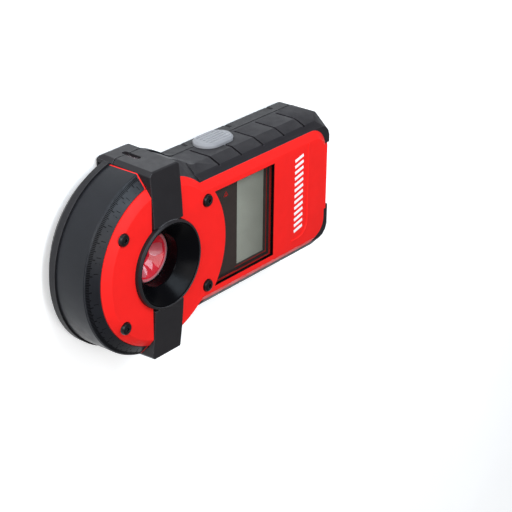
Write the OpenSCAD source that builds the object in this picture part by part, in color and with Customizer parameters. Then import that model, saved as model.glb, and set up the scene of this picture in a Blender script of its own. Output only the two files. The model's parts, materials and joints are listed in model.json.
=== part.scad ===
// Hand-held stud finder with a round sensing head, a yoke across the head,
// a lit marking hole, a display in the handle and a push button on the side.
// It lies on its back: +Z is the front face's normal, z = 0 is the wall plane,
// the marking hole is on the Z axis and the handle runs along +X.

/* [Head] */
// Radius of the red face disc
face_r = 38.2; // [37.5:0.1:38.8]
// Radius of the bumper's wall around the head
bumper_r = 44; // [43.7:0.1:44.2]
// Radius of the back shell's band around the head
band_r = 44.8; // [44.4:0.1:44.9]
// Sideways run of the soft edge around the red face
edge_run = 3.4; // [2.6:0.2:3.8]
// Distance of the face screws from the marking hole, along the handle
screw_dx = 27; // [26:0.5:28]
// Distance of the face screws from the marking hole, across the handle
screw_dy = 20.7; // [20:0.1:21]

/* [Handle] */
// Depth of the body from the wall to the middle of the front face
body_h = 32; // [32:0.5:33]
// Distance from the marking hole to the red end wall
end_x = 119.2; // [117:0.2:121]
// Half-width of the red face
face_w = 29; // [28.5:0.1:29.4]
// Half-width over the side grips
grip_w = 34.4; // [34:0.1:35]
// Height at which the front and back shells meet
parting_z = 8.5; // [8.2:0.1:8.6]

/* [Yoke] */
// Width of the yoke's arms
yoke_width = 18.6; // [18:0.2:19]
// Distance from the marking hole to the yoke's side faces, at the wall
yoke_y = 45.8; // [45.5:0.1:46.5]
// Height of the collar's lip above the wall
collar_z = 34.4; // [34.2:0.1:35]
// Outer radius of the collar
collar_r = 20.4; // [20.2:0.1:20.8]

/* [Marking hole] */
// Radius of the marking hole
hole_r = 3.75; // [3.5:0.05:4]
// Radius of the light cup
cup_r = 11.6; // [11.4:0.1:11.7]

/* [Button] */
// Place of the side button along the handle
button_x = 56.6; // [56.2:0.1:57]

/* [Hidden] */
$fn = 96;
wall = 2.2;                       // wall of both shells
gap = 0.1;                        // gap between pieces that rest on each other
shell_z = parting_z + gap;        // bottom edge of the front shell
rear_top = parting_z - gap;       // top edge of the rear shell
bend_z = 21.6;                    // height where the grips' walls bend into the bevel
bumper_bend = 24.2;               // height where the bumper's wall bends into its cone
bevel_z = 29.4;                   // height where the bevel meets the red face
skin = 2.1;                       // thickness of the grips and the bumper
skirt_r = bumper_r;               // radius of the grips' lobes beside the yoke
bevel_run = skirt_r - face_r;     // sideways run of the bevel
core_r = skirt_r - skin;          // radius of the red shell under the bumper
core_w = grip_w - skin;           // half-width of the red shell under the grips
core_bevel_z = bend_z + (core_r - face_r) * (bevel_z - bend_z) / bevel_run;
outer_corner = 5.5;               // end corner radius over the grips
top_corner = 7;                   // the same at the grips' top edge
core_corner = 9;                  // end corner radius of the red shell under the grips
face_corner = 12;                 // end corner radius of the red face
face_end = end_x - 1.4;           // end of the red face beside the grips
grip_end = end_x + 2.2;           // the grips stand proud of the end wall
bare_right = 19.5;                // the end wall is bare from here, on the button's side,
bare_left = 12.8;                 // to here on the other side
grip_taper = 0.6;                 // the grips' end leans in by this much at bevel_z
fillet_r = 12;                    // blends the head into the handle
yoke_half = yoke_width / 2;
collar_lip = 1.3;                 // thickness of the collar's lip
liner_r = collar_r - collar_lip - 0.15; // radius of the funnel's mouth
yoke_seam = 0.22;                 // half the gap between the yoke's halves
yoke_gap = 0.15;                  // the yoke's channel is this much wider on each side
yoke_under = 28.75;               // underside of the yoke's front arms
yoke_inner = 42.3;                // inner faces of the yoke's sides
yoke_split = 10;                  // where the two yoke halves meet
yoke_crown = 350;                 // radius of the crown along the yoke
yoke_top = 33.9;                  // height of the crown at the marking hole
yoke_lean = 1.2;                  // the yoke's side faces lean in by this much at yoke_shoulder
yoke_shoulder = 30.4;             // top of the yoke's side faces
yoke_edges = [1.8, 0.9];          // bevels along the yoke's side faces, on the -X and +X edges
window_r = 39.5;                  // radius of the window's curved edge
window_w = 23.2;                  // half-width of the window
window_end = 75;                  // straight edge of the window
window_z = 30.4;                  // outer face of the window
ledge = 1.6;                      // ledge that the window rests on
board_z = 22.4;                   // underside of the main board
board_t = 1.6;                    // thickness of the circuit boards
sensor_z = 4.4;                   // underside of the sensor board
floor_z = 0.6;                    // outer face of the back shell
floor_t = 2;                      // thickness of the back shell's floor
side_wall = 3.6;                  // thickness of the back shell's side walls
floor_top = floor_z + floor_t;
boss_r = 3.2;                     // screw bosses
pilot_r = 1.4;                    // pilot holes
shank_r = 1.35;                   // screw shanks
recess_r = 3.15;                  // shallow seats of the face screws
recess_depth = 0.4;
head_r = 2.9;                     // face screws' button heads
head_top_r = 1.75;
head_h = 1.7;
socket_r = 1.15;
seat_t = 7;                       // material under a face screw's head
rear_screw_x = 110.5;
rear_screw_y = 22.5;
board_screws = [[36, 25.5], [94, 25.5]];
tube_r = 5.2;                     // outside of the marking tube
bowl_z = 17.4;                    // foot of the bowl, where the marking hole ends
rim_z = 21.4;                     // the bowl's edge, with the clear rim on it
neck_r = 12;                      // inside of the funnel's neck
neck_foot = 21.2;
neck_top = 27.4;                  // where the neck opens into the funnel
button_r = 6.7;                   // end radius of the button
button_half = 4.1;                // half the distance between its end centres
button_z = 10.4;
button_out = grip_w + 2;          // outer face of the button
button_fit = 0.35;                // gap around the button
plunger_r = 1.6;
pin_fit = 0.08;                   // running clearance of plunger and hinge pins
slot_w = 3;                       // laser slots in the yoke
slot_z = 12.4;                    // height of the laser modules
slot_len = 10;
door_x0 = 62.4;                   // hinge axis of the battery door
door_z0 = 2.4;
door_x1 = 113.8;
door_w = 13.8;
barrel_r = 1.7;
pin_r = 1.2;
battery_x = 66;                   // the battery's body starts here
battery_len = 46.5;
battery_w = 26.5;
battery_h = 17.5;
battery_z = 3.5;
head_chamfer = 4.6;               // edge around the back of the head
handle_chamfer = 1.6;             // edge around the back of the handle
groove_pitch = 15.6;
groove_x0 = 40.8;
groove_w = 1.3;
pads = [[-28, 15], [-28, -15], [98, 24], [98, -24]];
pad_r = 4;

// ---- shared shapes ----

// Plan of a handle with round end corners
module handle_plan(w, x1, corner) {
    translate([0, -w]) square([x1 - corner, 2 * w]);
    translate([0, corner - w]) square([x1, 2 * (w - corner)]);
    for (side = [-1, 1]) translate([x1 - corner, side * (w - corner)]) circle(corner);
}

// Straight stretch of handle wall from z0 to z1
module handle_wall(w, x1, corner, z0, z1) {
    translate([0, 0, z0]) linear_extrude(z1 - z0) handle_plan(w, x1, corner);
}

// Stretch of handle that narrows by run from z0 up to z1, or widens if run is below zero
module handle_bevel(w, x1, corner, run, z0, z1) {
    rotate([90, 0, 90]) linear_extrude(x1 - corner)
        polygon([[-w, z0], [w, z0], [w - run, z1], [run - w, z1]]);
    translate([0, w - corner, 0]) rotate([90, 0, 0]) linear_extrude(2 * (w - corner))
        polygon([[0, z0], [x1, z0], [x1 - run, z1], [0, z1]]);
    for (side = [-1, 1]) translate([x1 - corner, side * (w - corner), z0])
        cylinder(h = z1 - z0, r1 = corner, r2 = corner - run);
}

// Concave blend between a head of radius r and a handle of half-width w, on the +Y side
module blend(r, w, z0, z1) {
    fx = sqrt(pow(r + fillet_r, 2) - pow(w + fillet_r, 2));
    fy = w + fillet_r;
    k = r / (r + fillet_r);
    translate([0, 0, z0]) linear_extrude(z1 - z0) difference() {
        polygon([[fx * k, fy * k], [fx, fy], [fx, w - 6], [fx * k, w - 6]]);
        translate([fx, fy]) circle(fillet_r);
    }
}

// Everything below a plane that runs down outwards, at run_angle in plan, from a point on it
module below_slope(point, run_angle, slope) {
    reach = 200;
    translate(point) rotate([0, 0, run_angle]) rotate([0, slope, 0])
        translate([-reach, -reach, -reach]) cube([2 * reach, 2 * reach, reach]);
}

// Everything below a plane that touches the grips' end corner at an angle in plan
module corner_slope(angle) {
    top = [grip_end - grip_taper - top_corner, face_w - top_corner];
    bend = [grip_end - outer_corner, grip_w - outer_corner];
    out = [cos(angle), sin(angle)];
    run = (bend - top) * out + outer_corner - top_corner;
    below_slope([top[0] + top_corner * out[0], top[1] + top_corner * out[1], bevel_z], angle,
                atan2(bevel_z - bend_z, run));
}

// The end corner on the +Y side, rounded by three such planes
module round_corner() {
    intersection() {
        corner_slope(20);
        corner_slope(45);
        corner_slope(70);
    }
}

// Everything below the two planes that crown the grips' long bevel, on the +Y side
module crowned_side() {
    ridge = [grip_w - 2.2, 27];
    intersection() {
        below_slope([0, face_w, bevel_z], 90, atan2(bevel_z - ridge[1], ridge[0] - face_w));
        below_slope([0, grip_w, bend_z], 90, atan2(ridge[1] - bend_z, grip_w - ridge[0]));
    }
}

// Outside of the grips: both lobes beside the yoke, the blends and the handle
module skin_solid() {
    drop = bevel_z - bend_z;
    translate([0, 0, shell_z]) cylinder(h = bend_z - shell_z, r = skirt_r);
    translate([0, 0, bend_z]) cylinder(h = drop, r1 = skirt_r, r2 = face_r);
    intersection() {
        handle_wall(grip_w, grip_end, outer_corner, shell_z, bevel_z);
        below_slope([grip_end - grip_taper, 0, bevel_z], 0, atan2(drop, grip_taper));
        crowned_side();
        scale([1, -1, 1]) crowned_side();
        round_corner();
        scale([1, -1, 1]) round_corner();
    }
    for (side = [-1, 1]) scale([1, side, 1]) intersection() {
        blend(skirt_r, grip_w, shell_z, bevel_z);
        below_slope([27.9, 35.6, bend_z], 69.5, 52);
    }
}

// Head of the red shell; grown moves its walls out or in
module core_head(grown, z0) {
    top_r = face_r + grown;
    edge_z = bevel_z + grown;
    translate([0, 0, z0]) cylinder(h = bend_z - z0, r = core_r + grown);
    translate([0, 0, bend_z]) cylinder(h = core_bevel_z - bend_z, r1 = core_r + grown, r2 = top_r);
    translate([0, 0, core_bevel_z]) cylinder(h = edge_z - core_bevel_z, r = top_r);
    translate([0, 0, edge_z]) cylinder(h = body_h - bevel_z, r1 = top_r, r2 = top_r - edge_run);
}

// Outside of the whole red shell, in the same way
module core_solid(grown, z0) {
    w = core_w + grown;
    x1 = end_x + grown;
    top_w = face_w + grown;
    run = core_w - face_w;
    edge_z = bevel_z + grown;
    core_head(grown, z0);
    handle_wall(w, x1, core_corner + grown, z0, bend_z);
    handle_bevel(w, x1, core_corner + grown, run, bend_z, core_bevel_z);
    handle_wall(top_w, face_end + grown, face_corner + grown, core_bevel_z, edge_z);
    handle_bevel(top_w, face_end + grown, face_corner + grown, edge_run, edge_z, body_h + grown);
    // the bare middle of the end wall, with its bevelled top edge
    rotate([90, 0, 0]) translate([0, 0, -bare_right - grown])
        linear_extrude(bare_right + bare_left + 2 * grown)
        polygon([[90, z0], [x1, z0], [x1, edge_z], [x1 - edge_run, body_h + grown], [90, body_h + grown]]);
}

// Plan of the display window, smaller all round by inset
module window_plan(inset) {
    difference() {
        translate([20, inset - window_w]) square([window_end - inset - 20, 2 * (window_w - inset)]);
        circle(window_r + inset, $fn = 160);
    }
}

module at_face_screws() {
    for (sx = [-1, 1], sy = [-1, 1])
        translate([sx * screw_dx, sy * screw_dy, body_h - recess_depth]) children();
}

module at_board_screws() {
    for (place = board_screws, side = [-1, 1]) translate([place[0], side * place[1], 0]) children();
}

module at_rear_screws() {
    for (side = [-1, 1]) translate([rear_screw_x, side * rear_screw_y, 0]) children();
}

module at_pads() {
    for (place = pads) translate([place[0], place[1], 0]) children();
}

// Stadium of the side button, standing along Y, from y0 to y1
module stadium(r, y0, y1) {
    translate([button_x, y0, button_z]) rotate([-90, 0, 0]) {
        for (side = [-1, 1]) translate([side * button_half, 0, 0]) cylinder(h = y1 - y0, r = r);
        translate([-button_half, -r, 0]) cube([2 * button_half, 2 * r, y1 - y0]);
    }
}

// Stadium that narrows outwards from radius r0 to r1
module stadium_taper(r0, r1, y0, y1) {
    translate([button_x, y0, button_z]) rotate([-90, 0, 0]) {
        for (side = [-1, 1]) translate([side * button_half, 0, 0]) cylinder(h = y1 - y0, r1 = r0, r2 = r1);
        rotate([90, 0, 90]) translate([0, 0, -button_half]) linear_extrude(2 * button_half)
            polygon([[-r0, 0], [r0, 0], [r1, y1 - y0], [-r1, y1 - y0]]);
    }
}

// Slots and pockets at both ends of the yoke, for the laser lines
module laser_slots() {
    for (side = [-1, 1]) scale([1, side, 1]) {
        translate([-slot_w / 2, yoke_y - 2, slot_z - slot_len / 2 + slot_w / 2])
            cube([slot_w, 3, slot_len - slot_w]);
        for (end = [-1, 1]) translate([0, yoke_y - 2, slot_z + end * (slot_len - slot_w) / 2])
            rotate([-90, 0, 0]) cylinder(h = 3, r = slot_w / 2);
        translate([-2.6, yoke_inner - 0.5, slot_z - 6]) cube([5.2, 2, 12]);
    }
}

// ---- shells ----

module front_housing() {
    color("#f02c2a") difference() {
        core_solid(0, shell_z);
        difference() {
            core_solid(-wall, shell_z - 1);
            // material left inside for the collar, the yoke's channel, the window and the screws
            translate([0, 0, 25]) cylinder(h = 10, r = 22.6);
            for (side = [-1, 1]) scale([1, side, 1])
                translate([-yoke_half - 2, 15, 26.4]) cube([yoke_width + 4, 30, 8]);
            translate([0, 0, 27.2]) linear_extrude(8) intersection() {
                window_plan(-1.8);
                translate([20, -window_w - 1.8]) square([window_end - 18.2, 2 * window_w + 3.6]);
            }
            at_face_screws() translate([0, 0, -seat_t]) cylinder(h = 12, r = recess_r + 1.2);
            at_board_screws() translate([0, 0, board_z + board_t + gap]) cylinder(h = 8, r = 2.4);
            at_rear_screws() translate([0, 0, shell_z + 0.4]) cylinder(h = 30, r = boss_r);
        }
        // hole for the funnel, seat of the collar
        translate([0, 0, 20]) cylinder(h = 20, r = 18.45);
        translate([0, 0, 29.6]) cylinder(h = 10, r = collar_r + 0.15);
        // channel under the yoke's arms
        for (side = [-1, 1]) scale([1, side, 1])
            translate([-yoke_half - yoke_gap, 15, 28.6]) cube([yoke_width + 2 * yoke_gap, 40, 8]);
        // window recess and the opening behind it
        translate([0, 0, 28.8]) linear_extrude(8) window_plan(0);
        translate([0, 0, 20]) linear_extrude(10) window_plan(ledge);
        // screws
        at_face_screws() {
            cylinder(h = 10, r = recess_r);
            translate([0, 0, -seat_t - 1]) cylinder(h = 12, r = shank_r + 0.25);
        }
        at_board_screws() translate([0, 0, board_z]) cylinder(h = 5.5, r = 0.9);
        at_rear_screws() translate([0, 0, shell_z - 1]) cylinder(h = 15, r = pilot_r);
        // side button and laser barrels
        stadium(button_r + button_fit, 25, 40);
        for (side = [-1, 1]) scale([1, side, 1]) {
            translate([0, 36, slot_z]) rotate([-90, 0, 0]) cylinder(h = 8, r = 3.5);
            translate([-3.5, 36, shell_z - 1]) cube([7, 8, slot_z - shell_z + 1]);
        }
    }
}

// Outside of the back shell
module rear_solid() {
    w = grip_w + 0.2;
    x1 = grip_end - 0.8;
    translate([0, 0, floor_z + head_chamfer]) cylinder(h = rear_top - floor_z - head_chamfer, r = band_r);
    translate([0, 0, floor_z]) cylinder(h = head_chamfer, r1 = band_r - head_chamfer, r2 = band_r);
    handle_wall(w, x1, outer_corner, floor_z + handle_chamfer, rear_top);
    handle_bevel(w - handle_chamfer, x1 - handle_chamfer, outer_corner - handle_chamfer, -handle_chamfer,
                 floor_z, floor_z + handle_chamfer);
    for (side = [-1, 1]) scale([1, side, 1]) blend(band_r, w, floor_z + head_chamfer, rear_top);
}

// Space inside the back shell
module rear_space() {
    w = grip_w + 0.2 - side_wall;
    translate([0, 0, floor_top]) cylinder(h = 20, r = band_r - head_chamfer - 0.6);
    handle_wall(w, grip_end - 0.8 - side_wall, 3, floor_top, 20);
}

module rear_housing() {
    color("#302f31") difference() {
        union() {
            difference() {
                rear_solid();
                difference() {
                    rear_space();
                    // bosses of the face screws and the shoulders that carry the sensor board
                    for (sx = [-1, 1], sy = [-1, 1]) translate([sx * screw_dx, sy * screw_dy, 0]) {
                        cylinder(h = sensor_z - gap, r = boss_r + 1.2);
                        cylinder(h = 20, r = boss_r);
                    }
                    at_rear_screws() cylinder(h = 20, r = boss_r + 1);
                    // cradles of the laser modules
                    for (side = [-1, 1], y = [29, 36]) scale([1, side, 1])
                        translate([-4.2, y, 0]) cube([8.4, 1.6, 30]);
                    // hinge bosses of the battery door
                    for (side = [-1, 1]) translate([door_x0 - 2.6, side * 15.2 - 1, 0]) cube([5.2, 2, 5.4]);
                }
            }
            for (sx = [-1, 1], sy = [-1, 1]) translate([sx * screw_dx, sy * screw_dy, floor_top - gap])
                cylinder(h = body_h - recess_depth - seat_t - floor_top, r = boss_r);
            // walls of the battery bay
            for (side = [-1, 1]) translate([66, side * 14.95 - 0.75, floor_top - gap])
                cube([48.8, 1.5, battery_z + battery_h - floor_top]);
            translate([114.2, -15.7, floor_top - gap]) cube([1.4, 31.4, battery_z + battery_h - floor_top]);
            for (side = [-1, 1], y = [29, 36]) scale([1, side, 1])
                translate([-4.2, y, floor_top - gap]) cube([8.4, 1.6, slot_z - floor_top]);
            // stops behind the switch board
            for (x = [-6, 6]) translate([button_x + x - 0.8, 16.6, floor_top - gap]) cube([1.6, 3.5, 12]);
        }
        // marking tube, screw holes
        translate([0, 0, -1]) cylinder(h = 10, r = tube_r + 0.15);
        for (sx = [-1, 1], sy = [-1, 1]) translate([sx * screw_dx, sy * screw_dy, sensor_z + 2])
            cylinder(h = 40, r = pilot_r);
        at_rear_screws() {
            translate([0, 0, -1]) cylinder(h = 20, r = shank_r + 0.25);
            translate([0, 0, -1]) cylinder(h = 4.4, r = 3.1);
        }
        for (side = [-1, 1], y = [29, 36]) scale([1, side, 1])
            translate([0, y - 1, slot_z]) rotate([-90, 0, 0]) cylinder(h = 4, r = 3.25);
        // groove of the rear yoke, across the back and up both sides
        translate([-yoke_half - yoke_gap, -60, -1]) cube([yoke_width + 2 * yoke_gap, 120, 2.6]);
        for (side = [-1, 1]) scale([1, side, 1])
            translate([-yoke_half - yoke_gap, yoke_inner - 0.2, -1])
                cube([yoke_width + 2 * yoke_gap, 10, 30]);
        // battery door opening and its hinge
        translate([door_x0 - barrel_r - 0.3, -door_w - 0.3, -1])
            cube([door_x1 + 0.3 - door_x0 + barrel_r + 0.3, 2 * door_w + 0.6, 5]);
        translate([door_x0, -20, door_z0]) rotate([-90, 0, 0]) cylinder(h = 40, r = pin_r + pin_fit);
        // finger notch at the door's free end
        translate([door_x1 + 0.3, 0, -2.2]) cylinder(h = 4, r = 5);
        stadium(button_r + button_fit, 25, 40);
        // notches across the band
        for (i = [0 : 2], side = [-1, 1]) translate([43.7 + 2 * i * groove_pitch, side * (grip_w + 0.2), 0])
            rotate([0, 0, 45]) translate([-0.75, -0.75, 0]) cube([1.5, 1.5, 6]);
        at_pads() translate([0, 0, -1]) cylinder(h = 2, r = pad_r + 0.2);
    }
}

module head_bumper() {
    color("#333335") difference() {
        intersection() {
            union() {
                translate([0, 0, shell_z]) cylinder(h = bumper_bend - shell_z, r = bumper_r);
                translate([0, 0, bumper_bend])
                    cylinder(h = bevel_z - bumper_bend, r1 = bumper_r, r2 = face_r);
            }
            translate([-60 - yoke_half - 0.7, -60, 0]) cube([60, 120, 60]);
        }
        core_head(0.15, 0);
    }
}

// How far out the yoke's side faces are at height z
function yoke_side(z) = yoke_y - yoke_lean * z / yoke_shoulder;

// One front arm of the yoke, on the +Y side: from the collar over the edge and down to the split
module front_arm() {
    split_z = yoke_split + yoke_seam;
    shoulder_y = yoke_side(yoke_shoulder);
    difference() {
        rotate([90, 0, 90]) translate([0, 0, -yoke_half]) linear_extrude(yoke_width)
            polygon([[19.5, yoke_under], [38.6, yoke_under], [38.6, 27.4], [yoke_inner, 22],
                     [yoke_inner, split_z], [yoke_side(split_z), split_z], [shoulder_y, yoke_shoulder],
                     [shoulder_y - 0.7, yoke_shoulder + 1.2], [shoulder_y - 0.7, 36], [19.5, 36]]);
        difference() {
            translate([-20, 0, 20]) cube([40, 60, 30]);
            translate([-30, 0, yoke_top - yoke_crown]) rotate([0, 90, 0])
                cylinder(h = 60, r = yoke_crown, $fn = 240);
        }
        side_bevels(5, 45);
    }
}

// Wedges that bevel both long edges of the yoke's side face, on the +Y side, from z0 to z1
module side_bevels(z0, z1) {
    lean = atan2(yoke_lean, yoke_shoulder);
    for (i = [0, 1]) scale([2 * i - 1, 1, 1])
        translate([yoke_half, yoke_y, 0]) rotate([lean, 0, 0]) rotate([0, 0, 45])
            translate([-yoke_edges[i] / sqrt(2), -4, z0 - 4]) cube([4, 8, z1 - z0 + 4]);
}

module front_yoke() {
    color("#3a393b") difference() {
        union() {
            for (side = [-1, 1]) scale([1, side, 1]) front_arm();
            translate([0, 0, 29.7]) cylinder(h = collar_z - 0.8 - 29.7, r = collar_r);
            translate([0, 0, collar_z - 0.8]) cylinder(h = 0.8, r1 = collar_r, r2 = collar_r - 0.7);
        }
        translate([0, 0, 20]) cylinder(h = 20, r = collar_r - collar_lip);
        laser_slots();
    }
}

module rear_yoke() {
    corner = 2.6;
    split_z = yoke_split - yoke_seam;
    side_y = yoke_side(corner);
    color("#3a393b") difference() {
        union() {
            translate([-yoke_half, corner - yoke_y, floor_z]) cube([yoke_width, 2 * (yoke_y - corner), 0.9]);
            for (side = [-1, 1]) scale([1, side, 1]) rotate([90, 0, 90]) translate([0, 0, -yoke_half])
                linear_extrude(yoke_width)
                    polygon([[40, floor_z], [side_y - corner, floor_z], [side_y - 0.8, floor_z + 0.8],
                             [side_y, floor_z + corner], [yoke_side(split_z), split_z],
                             [yoke_inner, split_z], [yoke_inner, 1.5], [40, 1.5]]);
        }
        for (side = [-1, 1]) scale([1, side, 1]) side_bevels(-2, 14);
        translate([0, 0, -1]) cylinder(h = 5, r = tube_r + 0.15);
        laser_slots();
    }
}

// ---- marking hole ----

module funnel_liner() {
    color("#161618") rotate_extrude()
        polygon([[liner_r, 34.1], [liner_r, 31], [14.2, 27.2], [14.2, neck_foot], [neck_r, neck_foot],
                 [neck_r, neck_top], [liner_r - 0.4, 34.1]]);
}

module light_cup() {
    color("#c81824") difference() {
        union() {
            cylinder(h = 17, r = tube_r);
            translate([0, 0, 15.9]) cylinder(h = 1.5, r = 7);
            translate([0, 0, 17]) cylinder(h = 3, r1 = 7.6, r2 = cup_r);
            translate([0, 0, 20]) cylinder(h = rim_z - gap - 20, r = cup_r);
        }
        translate([0, 0, -1]) cylinder(h = 40, r = hole_r);
        translate([0, 0, bowl_z]) cylinder(h = rim_z - bowl_z, r1 = 5, r2 = 10);
    }
}

module cup_rim() {
    color("#f4e6ea") translate([0, 0, rim_z]) difference() {
        cylinder(h = 0.7, r1 = cup_r, r2 = cup_r - 0.4);
        translate([0, 0, -1]) cylinder(h = 3, r = 10.3);
    }
}

// ---- grips ----

// Grip on the +Y side, which ends on the end wall at stop_y; turn is -1 for the one on the -Y side
module grip(stop_y, turn) {
    difference() {
        intersection() {
            skin_solid();
            translate([yoke_half + 0.7, stop_y + 0.1, 0]) cube([150, 60 - stop_y, 60]);
        }
        scale([1, turn, 1]) core_solid(0.05, 0);
        for (i = [0 : 4]) translate([groove_x0 + i * groove_pitch, 0, 0]) grip_groove();
    }
}

// One groove that crosses the side and runs down the bevel
module grip_groove() {
    depth = 1.2;
    drop = bevel_z - bend_z;
    side_run = grip_w - face_w;
    // the slanted stretch stops short of the red face
    rotate([90, 0, 90]) translate([0, 0, -groove_w / 2]) linear_extrude(groove_w)
        polygon([[grip_w - depth, 10], [grip_w + 3, 10], [grip_w + 3, bend_z + 5],
                 [grip_w - 0.65 * side_run + 1, bend_z + 0.65 * drop + 1],
                 [grip_w - 0.65 * side_run - depth, bend_z + 0.65 * drop - depth * 0.7],
                 [grip_w - depth, bend_z - depth * 0.5]]);
}

module right_grip() {
    color("#343335") difference() {
        grip(bare_right, 1);
        stadium(button_r + button_fit, 25, 40);
    }
}

module left_grip() {
    color("#343335") mirror([0, 1, 0]) grip(bare_left, -1);
}

// ---- display ----

module display_window() {
    color([0.27, 0.24, 0.23, 0.5]) translate([0, 0, 29]) linear_extrude(window_z - 29) window_plan(0.15);
}

module window_seal() {
    color("#1c1c1c") translate([0, 0, 28.82]) linear_extrude(0.16) difference() {
        window_plan(0.3);
        window_plan(ledge + 0.1);
    }
}

module display_bezel() {
    color("#4a4240") translate([0, 0, 27.3]) linear_extrude(1.1) difference() {
        window_plan(ledge + 0.15);
        translate([52, -21.2]) square([20.8, 42.4]);
    }
}

module lcd_panel() {
    color("#a3aca0") translate([49.6, -24.2, 25.4]) cube([26.3, 48.4, 1.7]);
}

module backlight() {
    color("#e8ebe4") translate([51, -19.6, 24.1]) cube([24, 39.2, 1.2]);
}

module lcd_frame() {
    color("#202022") translate([48, -25.8, 24.05]) difference() {
        cube([29.4, 51.6, 3.05]);
        translate([1.5, 1.5, -1]) cube([26.4, 48.6, 6]);
    }
}

module contact_strips() {
    color("#c9b6c6") for (side = [-1, 1]) translate([50.5, side * 22.2 - 1.3, 24.05]) cube([24.5, 2.6, 1.3]);
}

// ---- electronics ----

module main_board() {
    color("#1f6b3a") translate([0, 0, board_z]) linear_extrude(board_t) difference() {
        translate([30.6, -27.6]) square([70, 55.2]);
        for (place = board_screws, side = [-1, 1]) translate([place[0], side * place[1]]) circle(1.2);
    }
}

module control_chips() {
    color("#18181a") {
        translate([81, -8, 24.05]) cube([12, 12, 1.4]);
        translate([80, 8, 24.05]) cube([4, 4, 1.2]);
        translate([34, 6, 24.05]) cube([9, 6, 1.3]);
        translate([34, -14, 24.05]) cube([5, 5, 1.2]);
    }
}

module buzzer() {
    color("#101012") translate([90, 15, 24.05]) difference() {
        cylinder(h = 3.2, r = 4.6);
        translate([0, 0, 2.6]) cylinder(h = 2, r = 0.8);
    }
}

module sensor_board() {
    color("#1f6b3a") translate([0, 0, sensor_z]) linear_extrude(board_t) difference() {
        circle(36);
        circle(5.6);
        for (sx = [-1, 1], sy = [-1, 1]) translate([sx * screw_dx, sy * screw_dy]) circle(boss_r + 0.3);
        for (side = [-1, 1]) translate([-5, side * 33 - 5]) square([10, 10]);
    }
}

module sensor_plates() {
    color("#c77b3b") for (side = [-1, 1]) {
        translate([side * 20 - 5, -12, sensor_z - 0.4]) cube([10, 24, 0.35]);
        translate([side * 12 - 5, side * -21 - 4, sensor_z - 0.4]) cube([10, 8, 0.35]);
    }
}

module sensor_coil() {
    color("#b5622c") translate([0, 0, sensor_z + board_t + 0.05]) difference() {
        cylinder(h = 2.2, r = 27);
        translate([0, 0, -1]) cylinder(h = 5, r = 23);
        for (sx = [-1, 1], sy = [-1, 1])
            translate([sx * screw_dx, sy * screw_dy, -1]) cylinder(h = 5, r = 12);
    }
}

module link_sockets() {
    color("#ecebe6") for (z = [sensor_z + board_t + 0.05, board_z - 3.05])
        translate([31.2, -6, z]) difference() {
            cube([3.4, 12, 3]);
            translate([1.2, 0.7, -1]) cube([1, 10.6, 5]);
        }
}

module link_cable() {
    cable_h = board_z - sensor_z - board_t - 0.2;
    color("#d8d5cc") translate([32.5, -5, sensor_z + board_t + 0.1]) cube([0.8, 10, cable_h]);
}

module light_board() {
    color("#1f6b3a") translate([0, 0, 14.2]) difference() {
        cylinder(h = board_t, r = 14);
        translate([0, 0, -1]) cylinder(h = 4, r = tube_r + 0.1);
    }
}

module ring_leds() {
    color("#f7f1d8") for (i = [0 : 3]) rotate([0, 0, 45 + 90 * i]) translate([9, -1, 15.85]) cube([2, 2, 1]);
}

module laser_modules() {
    color("#b89a4e") for (side = [-1, 1]) scale([1, side, 1]) translate([0, 26, slot_z]) rotate([-90, 0, 0]) {
        cylinder(h = 14.5, r = 3.2);
        translate([0, 0, -2]) cylinder(h = 2, r = 2.2);
    }
}

module laser_windows() {
    color([0.9, 0.85, 0.85, 0.5]) for (side = [-1, 1]) scale([1, side, 1])
        translate([-2.5, yoke_inner + 0.2, slot_z - 5.9]) cube([5, 1.2, 11.8]);
}

// ---- side button ----

module side_button() {
    color("#9c9d9f") difference() {
        union() {
            stadium(button_r, 28.2, button_out - 1);
            stadium_taper(button_r, button_r - 1, button_out - 1, button_out);
            // ears that keep it in the shell
            translate([button_x - 13.4, 28.2, button_z - 4]) cube([26.8, 1.5, 8]);
            translate([button_x, 23.6, button_z]) rotate([-90, 0, 0]) cylinder(h = 5, r = plunger_r);
        }
        // shallow grooves along the top
        for (i = [-2 : 2])
            translate([button_x - 7, button_out - 0.35, button_z + i * 2 - 0.3]) cube([14, 1, 0.6]);
    }
}

module push_switch() {
    color("#26262a") translate([button_x, 21.5, button_z]) difference() {
        translate([-3, 0, -3]) cube([6, 4.2, 6]);
        translate([0, 0.7, 0]) rotate([-90, 0, 0]) cylinder(h = 5, r = plunger_r + pin_fit);
    }
}

module switch_board() {
    color("#1f6b3a") translate([button_x - 7, 20.2, 4.6]) cube([14, 1.25, board_z - 4.65]);
}

// ---- battery ----

module battery() {
    r = 2.2;
    mid = battery_z + battery_h / 2;
    color("#6d7377") {
        translate([battery_x, 0, mid]) rotate([90, 0, 90]) linear_extrude(battery_len) {
            square([battery_w - 2 * r, battery_h], center = true);
            square([battery_w, battery_h - 2 * r], center = true);
            for (sy = [-1, 1], sz = [-1, 1])
                translate([sy * (battery_w / 2 - r), sz * (battery_h / 2 - r)]) circle(r);
        }
        translate([battery_x - 2.2, 6.35, mid]) rotate([0, 90, 0]) cylinder(h = 2.3, r = 2.9);
        translate([battery_x - 2.2, -6.35, mid]) rotate([0, 90, 0]) cylinder(h = 2.3, r = 3.9);
    }
}

module battery_snap() {
    mid = battery_z + battery_h / 2;
    color("#141416") difference() {
        translate([60.6, -12.4, mid - 6]) cube([5.2, 24.8, 12]);
        translate([63.6, 6.35, mid]) rotate([0, 90, 0]) cylinder(h = 5, r = 3);
        translate([63.6, -6.35, mid]) rotate([0, 90, 0]) cylinder(h = 5, r = 4);
    }
}

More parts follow.
